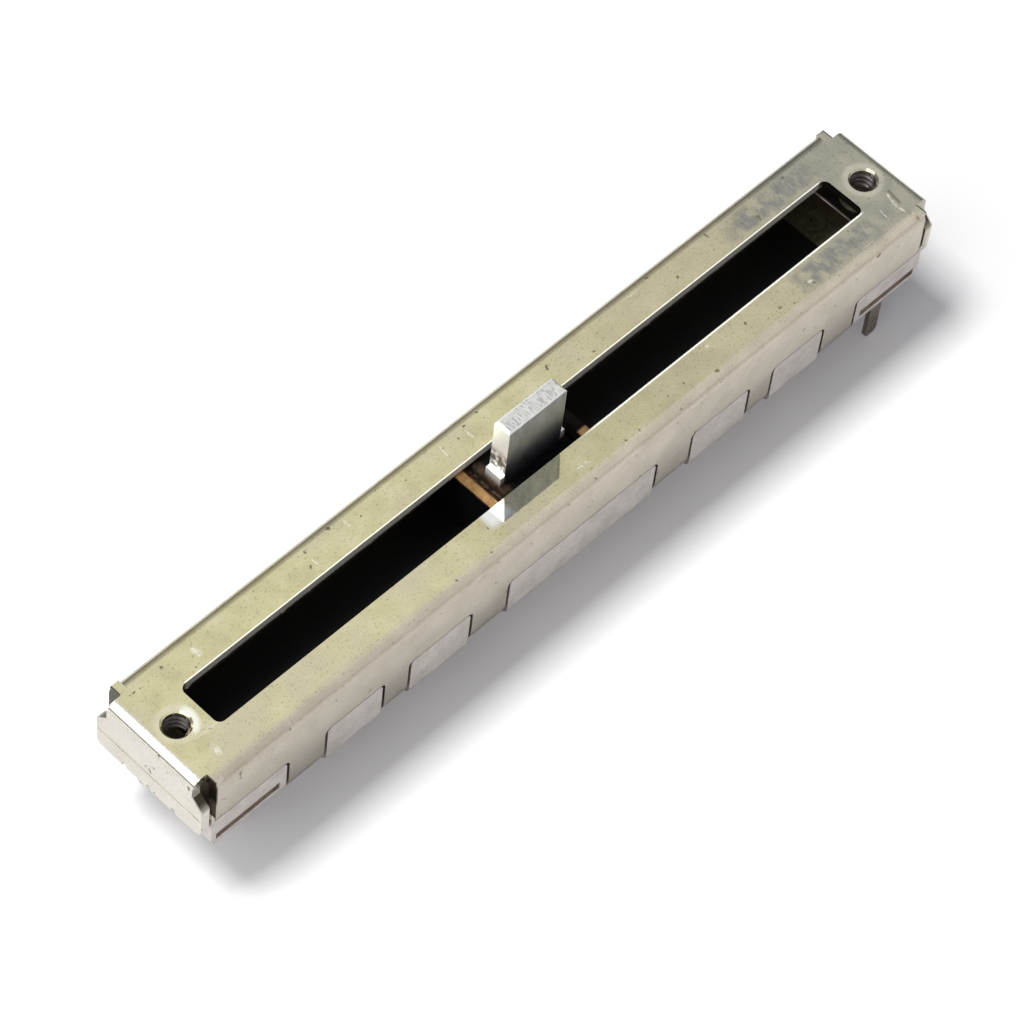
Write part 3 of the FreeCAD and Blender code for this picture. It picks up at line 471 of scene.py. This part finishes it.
lever_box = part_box("lever")
lever_top = lever_box[1][2] / MM
lever_middle = (lever_box[0][0] + lever_box[1][0]) / 2 / MM
blade = Finish("lever_plating")
grain = blade.noise(size=0.5, detail=4, where=blade.stretched(1, 1, 3))
tone = blade.clouded(grain, BLADE_DARK, BLADE_LIGHT)
speckle = blade.noise(size=0.22, detail=3, where=blade.stretched(0.5, 1.6, 1))
on_top = blade.reach(blade.up, lever_top - 0.10, lever_top - 0.02)
tone = blade.mix(blade.all_of(on_top, blade.reach(speckle, 0.50, 0.62)), tone, BLADE_SPECK)
on_face = blade.reach(blade.size_of(blade.across), *FACE_FROM)
tone = blade.mix(on_face, tone, blade.clouded(grain, FACE_SHADE_DARK, FACE_SHADE_LIGHT))
off_middle = blade.size_of(blade.math("SUBTRACT", blade.along, lever_middle))
on_end = blade.all_of(blade.reach(off_middle, *END_FROM), blade.reach(blade.up, *END_UP))
stain = blade.all_of(blade.reach(blade.noise(size=0.45, detail=4), 0.40, 0.56),
                     blade.band(blade.up, *STAIN_UP))
blade.drive("Base Color", blade.mix(on_end, tone, blade.mix(stain, END_LIT_PALE, END_STAIN)))
blade.drive("Metallic", blade.mix(on_end, 0.97, 0.45))
polish = blade.mix(on_face, blade.clouded(blade.noise(size=0.35), low=0.07, high=0.13), 0.36)
blade.drive("Roughness", blade.mix(on_end, polish, 0.42))
blade.bump(grain, strength=0.15, depth=0.02)
blade.give("lever")


# The upper case: steel sheet, punched, tapped and folded, with a pale yellowish plating that is greyer
# on its sides. The top is mottled and dull towards the far end. Its teeth stand between the tray's tabs.
SLOT_SIDE = 1.6
SLOT_END = 26.3
HOLE_X = 28.0
WARM_TONES = (0.3, (0.58, 0.54, 0.32)), (0.5, (0.66, 0.62, 0.37)), (0.7, (0.72, 0.68, 0.45))
WARM_CLOUD = (0.62, 0.58, 0.40)
DULL_DARK = (0.52, 0.48, 0.32)
DULL_LIGHT = (0.61, 0.56, 0.37)
ASHEN_DARK = (0.33, 0.33, 0.28)
ASHEN_LIGHT = (0.47, 0.45, 0.35)
SIDE_DARK = (0.52, 0.465, 0.375)
SIDE_LIGHT = (0.62, 0.565, 0.465)
SIDE_NEAR_TINT = (0.86, 0.86, 0.86)
SIDE_LOW_SHADE_TINT = (0.62, 0.62, 0.64)
FLAP_AND_LIT_BEND_DARK = (0.62, 0.59, 0.51)
FLAP_AND_LIT_BEND_LIGHT = (0.70, 0.67, 0.59)
DULL_ALONG = -2.0, 14.0
ASHEN_ALONG = 15.0, 26.0
SIDE_NEAR_ALONG = 10.0, -26.0

case_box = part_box("upper_case")
case_top = case_box[1][2] / MM
half_wide = case_box[1][1] / MM
half_long = case_box[1][0] / MM
plating = Finish("case_plating", metallic=0.9)
along, across = plating.along, plating.across
off_long = plating.size_of(across)
off_end = plating.size_of(along)


def below_top(start, end):
    """0 before a depth below the top of the case, and 1 past another."""
    return plating.reach(plating.up, case_top - start, case_top - end)


on_top = plating.all_of(below_top(0.30, 0.05), plating.reach(across, -half_wide + 0.35, -half_wide + 0.95))
on_skin = below_top(0.10, 0.05)
cloud = plating.noise(size=1.6, detail=6)
warm = plating.ramp(cloud, *WARM_TONES)
warm = plating.mix(plating.reach(plating.noise(size=6.0, detail=2), 0.45, 0.65), warm, WARM_CLOUD)
dull = plating.clouded(cloud, DULL_DARK, DULL_LIGHT)
warm = plating.mix(plating.reach(along, *DULL_ALONG), warm, dull)
ashen = plating.clouded(cloud, ASHEN_DARK, ASHEN_LIGHT)
warm = plating.mix(plating.reach(along, *ASHEN_ALONG), warm, ashen)
side = plating.clouded(cloud, SIDE_DARK, SIDE_LIGHT)
side = plating.tinted(plating.reach(along, *SIDE_NEAR_ALONG), side, SIDE_NEAR_TINT)
# Painted shade: the sides darken towards the bottom, near the table.
side = plating.tinted(below_top(1.5, 6.5), side, SIDE_LOW_SHADE_TINT)
tone = plating.mix(on_top, side, warm)
# The end flaps are paler and whiter. Along the near bend this tone is painted light, to back the white
# highlight there.
on_flap_and_lit_bend = plating.any_of(plating.reach(off_end, half_long - 0.35, half_long - 0.1),
                         plating.reach(along, -half_long + 0.72, -half_long + 0.58))
tone = plating.mix(on_flap_and_lit_bend, tone, plating.clouded(cloud, FLAP_AND_LIT_BEND_DARK, FLAP_AND_LIT_BEND_LIGHT))

# Rubbed grey patches on both strips beside the far end of the slot, with streaks across the slot.
RUBBED_GREY = 0.22
RUBBED_SHARE = 0.85
RUBBED_ALONG = 18.0, 20.5, 24.5, 27.5
RUBBED_OFF_LONG = 1.8, 2.2, 3.0, 3.8
blobs = plating.noise(size=0.75, detail=3, where=plating.stretched(1, 1.3, 1))
streaks = plating.noise(size=0.35, detail=3, where=plating.stretched(0.5, 2.0, 1))
rubbed = plating.all_of(
    plating.band(along, *RUBBED_ALONG), plating.band(off_long, *RUBBED_OFF_LONG),
    plating.reach(blobs, 0.36, 0.60), plating.reach(streaks, 0.15, 0.62), on_skin)
tone = plating.fade(rubbed, RUBBED_SHARE, tone, RUBBED_GREY)

# Fine grain and small pits all over.
GRAIN_TINT = (0.72, 0.72, 0.70)
PIT_BROWN = (0.22, 0.20, 0.14)
grains = plating.reach(plating.noise(size=0.13, detail=2), 0.56, 0.72)
tone = plating.tinted(grains, tone, GRAIN_TINT)
pits = plating.reach(plating.noise(size=0.55, detail=1), 0.72, 0.76)
tone = plating.mix(pits, tone, PIT_BROWN)

# Light scratches and knocks on the top: fine ones along it, and those that show one by one. The two at the
# far hole draw a raised ridge, and their pale tone there is a painted highlight. Each of these has its two
# ends, along and across the case, and its width.
HAIRLINE_PALE = (0.86, 0.83, 0.68)
HAIRLINE_SHARE = 0.4
SCRATCH_AND_RIDGE_HIGHLIGHT_PALE = (0.95, 0.93, 0.82)
SCRATCH_SHARE = 0.65
SCRATCHES = (
    ((-4.47, 3.31), (-4.56, 2.65), 0.14), ((-2.45, 1.94), (-2.49, 1.62), 0.14),
    ((-2.60, 3.15), (-2.58, 2.55), 0.22), ((0.25, -3.00), (0.60, -3.08), 0.18),
    ((0.86, -2.95), (1.15, -3.22), 0.20), ((-15.16, 2.72), (-15.10, 2.28), 0.16),
    ((-12.02, 3.35), (-12.05, 2.98), 0.26), ((-24.05, 2.85), (-24.00, 2.45), 0.50),
    ((-27.48, -2.45), (-27.50, -2.85), 0.50), ((12.00, -2.10), (12.10, -2.12), 0.24),
    ((19.90, -2.95), (20.10, -3.00), 0.26), ((28.25, -1.75), (28.02, -2.50), 0.20),
    ((28.02, -2.50), (28.05, -3.25), 0.24), ((27.04, -2.21), (26.90, -2.99), 0.10))
hair = plating.noise(size=0.4, detail=2, where=plating.stretched(14, 1, 1))
here_and_there = plating.reach(plating.noise(size=3.0), 0.5, 0.6)
hairlines = plating.all_of(plating.reach(hair, 0.66, 0.72), here_and_there, on_top)
tone = plating.fade(hairlines, HAIRLINE_SHARE, tone, HAIRLINE_PALE)
scratches = plating.any_of(*(
    plating.stroke((*start, case_top), (*end, case_top), width) for start, end, width in SCRATCHES))
ragged = plating.reach(plating.noise(size=0.16, detail=3), 0.36, 0.58)
scratches = plating.math("MULTIPLY", scratches, ragged)
tone = plating.fade(scratches, SCRATCH_SHARE, tone, SCRATCH_AND_RIDGE_HIGHLIGHT_PALE)

# Dark scuffs along the bend between the top and the long side, and at the far hole a painted shade beside
# the ridge there. Each has its two ends, along, across and down from the top, and its width.
SCUFF_AND_SHADE_BROWN = (0.20, 0.18, 0.14)
SCUFF_SHARE = 0.75
SCUFF_AND_SHADE_STROKES = (
    ((-8.97, -4.30, 0.76), (-8.34, -4.30, 0.70), 0.11), ((-8.06, -4.28, 0.30), (-7.24, -4.28, 0.50), 0.10),
    ((-5.43, -4.22, 0.26), (-4.86, -4.24, 0.32), 0.12), ((-4.23, -4.15, 0.15), (-4.00, -4.12, 0.12), 0.12),
    ((-1.75, -4.26, 0.40), (-1.55, -4.26, 0.44), 0.12), ((28.50, -1.60, 0.0), (28.35, -2.60, 0.0), 0.30))
scuffs_and_shade = plating.any_of(*(
    plating.stroke((*start[:2], case_top - start[2]), (*end[:2], case_top - end[2]), width)
    for start, end, width in SCUFF_AND_SHADE_STROKES))
tone = plating.fade(scuffs_and_shade, SCUFF_SHARE, tone, SCUFF_AND_SHADE_BROWN)

# The punched wall on the back side of the slot is rough, pale cut steel, painted brighter as lit. The rim
# that faces it past the lever is rough too, with a painted highlight. The ends of the slot are painted
# dark, as shade.
CUT_AND_HIGHLIGHT_PALE = (0.93, 0.91, 0.80)
SLOT_END_SHADE = (0.05, 0.045, 0.035)
RIM_FROM = 1.5, 3.5
slot_wall = plating.all_of(
    plating.band(across, SLOT_SIDE - 0.10, SLOT_SIDE - 0.04, SLOT_SIDE + 0.05, SLOT_SIDE + 0.10),
    plating.reach(off_end, SLOT_END - 0.30, SLOT_END - 0.60),
    below_top(0.62, 0.58))
slot_rim_highlight = plating.all_of(
    plating.band(across, -SLOT_SIDE - 0.14, -SLOT_SIDE - 0.08, -SLOT_SIDE + 0.02, -SLOT_SIDE + 0.04),
    plating.band(along, *RIM_FROM, SLOT_END - 0.5, SLOT_END), on_skin)
cut_edge_and_highlight = plating.any_of(slot_wall, slot_rim_highlight)
tone = plating.mix(cut_edge_and_highlight, tone, CUT_AND_HIGHLIGHT_PALE)
slot_end_shade = plating.all_of(
    plating.reach(off_long, SLOT_SIDE - 0.02, SLOT_SIDE - 0.10),
    plating.band(off_end, SLOT_END - 0.50, SLOT_END - 0.45, SLOT_END + 0.03, SLOT_END + 0.06),
    below_top(0.0, 0.04))
tone = plating.mix(slot_end_shade, tone, SLOT_END_SHADE)

# A pale ring around each hole. At the near one, a painted highlight brightens it towards the slot.
RING_PALE = (0.88, 0.84, 0.70)
RING_HIGHLIGHT = (0.97, 0.96, 0.84)
RING_SHARE = 0.30
RING_SPAN = 0.86, 0.96, 1.10, 1.45
HIGHLIGHT_SIDE = (-0.94, -0.34, 0)
from_hole = plating.join(plating.math("SUBTRACT", off_end, HOLE_X), across, 0.0)
ring = plating.all_of(plating.band(plating.vector_math("LENGTH", from_hole), *RING_SPAN),
                      below_top(0.2, 0.1))
toward_slot = plating.vector_math("DOT_PRODUCT", plating.vector_math("NORMALIZE", from_hole), HIGHLIGHT_SIDE)
tone = plating.fade(ring, RING_SHARE, tone, RING_PALE)
near_ring_highlight = plating.all_of(ring, plating.reach(toward_slot, 0.45, 0.85), plating.reach(along, 0.5, -0.5))
tone = plating.mix(near_ring_highlight, tone, RING_HIGHLIGHT)

# A painted reflection: a bright spot on the strip beside the near end of the lever, for the lever's end
# mirrored there.
REFLECTION_WHITE = (0.97, 0.97, 0.94)
REFLECTION_ALONG = -6.5, -5.9, -4.75, -4.35
REFLECTION_ACROSS = -3.0, -2.3, -1.65, -1.5
painted_reflection = plating.all_of(plating.band(along, *REFLECTION_ALONG), plating.band(across, *REFLECTION_ACROSS), on_skin)
tone = plating.mix(painted_reflection, tone, REFLECTION_WHITE)

# Dark brown in the reliefs at the corners, and on the ends of the bends beside them.
RELIEF_BROWN = (0.035, 0.025, 0.016)
RELIEF_SHARE = 0.97
RELIEF_OFF_LONG = 3.38, 3.46
relief_dark = plating.all_of(
    plating.band(off_end, half_long - 1.12, half_long - 1.03, half_long - 0.10, half_long - 0.02),
    plating.reach(off_long, *RELIEF_OFF_LONG), below_top(2.4, 1.7))
plating.drive("Base Color", plating.fade(relief_dark, RELIEF_SHARE, tone, RELIEF_BROWN))

# The polish: brightest beside the lever, which is mirrored there, and along the near bend. The cut
# edges, the rubbed patches and the sides are rougher.
POLISHED_ALONG = -7.2, -6.4, 2.5, 4.0
POLISHED_ACROSS = -3.7, -3.2, -1.7, -1.4
polished = plating.all_of(plating.band(along, *POLISHED_ALONG), plating.band(across, *POLISHED_ACROSS))
near_bend = plating.all_of(plating.reach(along, -half_long + 0.75, -half_long + 0.65),
                           below_top(0.70, 0.55))
plating.drive("Metallic", plating.mix(cut_edge_and_highlight, plating.mix(polished, 0.9, 1.0), 0.15))
sheen = plating.clouded(plating.noise(size=0.7, detail=4), low=0.10, high=0.20)
sheen = plating.mix(polished, sheen, 0.045)
sheen = plating.mix(rubbed, sheen, 0.45)
sheen = plating.mix(on_top, 0.30, sheen)
sheen = plating.mix(near_bend, sheen, 0.12)
plating.drive("Roughness", plating.mix(cut_edge_and_highlight, sheen, 0.6))

# The surface waves a little, and the strip beside the lever is shaded as if it leaned in towards the
# slot. The near bend stays smooth.
LEAN = -11.0
LEAN_ALONG = -14.0, -7.0, 6.0, 14.0
SCRATCH_HEIGHT = 0.15
height = plating.mix(SCRATCH_HEIGHT, plating.noise(size=1.4, detail=5), scratches, "ADD")
dished = plating.all_of(plating.band(along, *LEAN_ALONG), plating.math("MINIMUM", across, 0.0), LEAN)
height = plating.math("ADD", height, dished)
plating.bump(plating.mix(near_bend, height, 0.5), strength=0.10, depth=0.05)
plating.give("upper_case")


# The threads of the two screw holes: a steel ridge that winds three times up each hole, painted dark as
# shade inside the hole. They are cut in the sheet of the upper case, so they ride on the case.
THREAD_SHADE_DARK = (0.035, 0.03, 0.03)
THREAD_SHADE_LIGHT = (0.085, 0.075, 0.075)
THREAD_PITCH = 0.4
THREAD_TURNS = 3
THREAD_ROOT = 0.80
THREAD_CREST = 0.68
THREAD_BASE = 9.62
RIDGE_TALL = THREAD_PITCH * 0.45
STEPS_A_TURN = 28

thread = Finish("thread_steel", metallic=1.0, roughness=0.30)
thread.drive("Base Color", thread.clouded(thread.noise(size=0.3), THREAD_SHADE_DARK, THREAD_SHADE_LIGHT))

for name, hole_x in (("near_thread", -HOLE_X), ("far_thread", HOLE_X)):
    shape = bmesh.new()
    profile = [shape.verts.new((hole_x * MM + reach * MM, 0, level * MM)) for reach, level in (
        (THREAD_ROOT, THREAD_BASE), (THREAD_CREST, THREAD_BASE + RIDGE_TALL / 2),
        (THREAD_ROOT, THREAD_BASE + RIDGE_TALL))]
    start_cap = shape.faces.new(profile)
    steps = STEPS_A_TURN * THREAD_TURNS
    climb = THREAD_PITCH * THREAD_TURNS * MM / steps
    bmesh.ops.spin(shape, geom=[start_cap, *start_cap.edges, *profile], cent=(hole_x * MM, 0, 0),
                   axis=(0, 0, 1), dvec=(0, 0, climb), angle=math.tau * THREAD_TURNS,
                   steps=steps, use_duplicate=False)
    bmesh.ops.recalc_face_normals(shape, faces=shape.faces)
    ridge_mesh = bpy.data.meshes.new(name)
    shape.to_mesh(ridge_mesh)
    shape.free()
    ridge = bpy.data.objects.new(name, ridge_mesh)
    scene.collection.objects.link(ridge)
    ridge_mesh.materials.append(thread.material)
    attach(ridge, "case")
